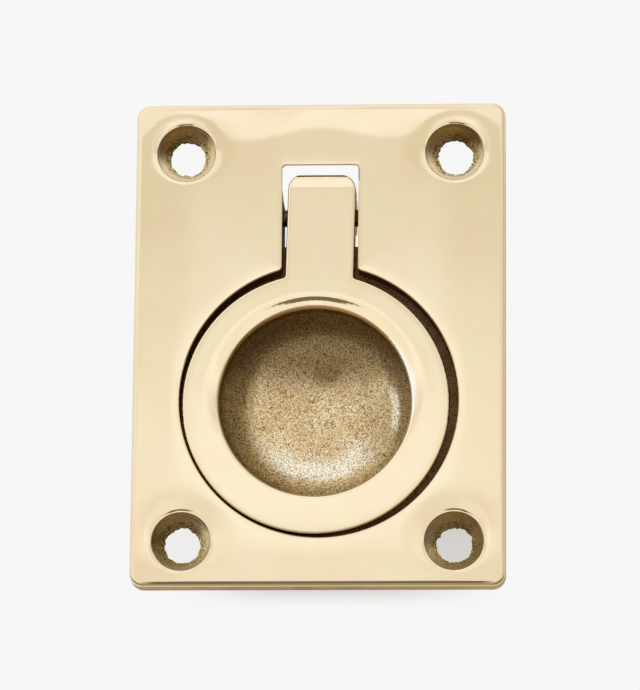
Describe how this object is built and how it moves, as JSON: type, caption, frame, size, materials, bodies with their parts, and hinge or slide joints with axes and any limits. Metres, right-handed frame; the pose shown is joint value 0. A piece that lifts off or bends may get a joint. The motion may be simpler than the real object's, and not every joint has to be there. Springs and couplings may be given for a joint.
{
  "type": "recessed finger pull",
  "caption": "Cast brass flush finger pull: countersunk plate, dished finger bowl, and a finger ring on a short stem that lies flush in a keyhole recess and lifts on a cross pin.",
  "frame": {"origin": "middle of the rectangle of screw holes, on the back of the face plate", "axes": "+X to the right across the plate, +Y along the plate towards the hinge, +Z out of the polished face"},
  "size_m": [0.0476, 0.0635, 0.0091],
  "materials": {
    "plate_brass": "polished face, antiqued bowl and back",
    "ring_brass": "polished",
    "pin_brass": "dull, darkened"
  },
  "bodies": {
    "plate": {"plate": "plate_brass", "hinge_pin": "pin_brass"},
    "ring": {"ring": "ring_brass"}
  },
  "joints": [
    {"name": "ring_hinge", "type": "hinge", "parent": "plate", "child": "ring", "pos_m": [0, 0.01794, -0.0013], "axis": [-1, 0, 0], "range_deg": [0, 105]}
  ]
}
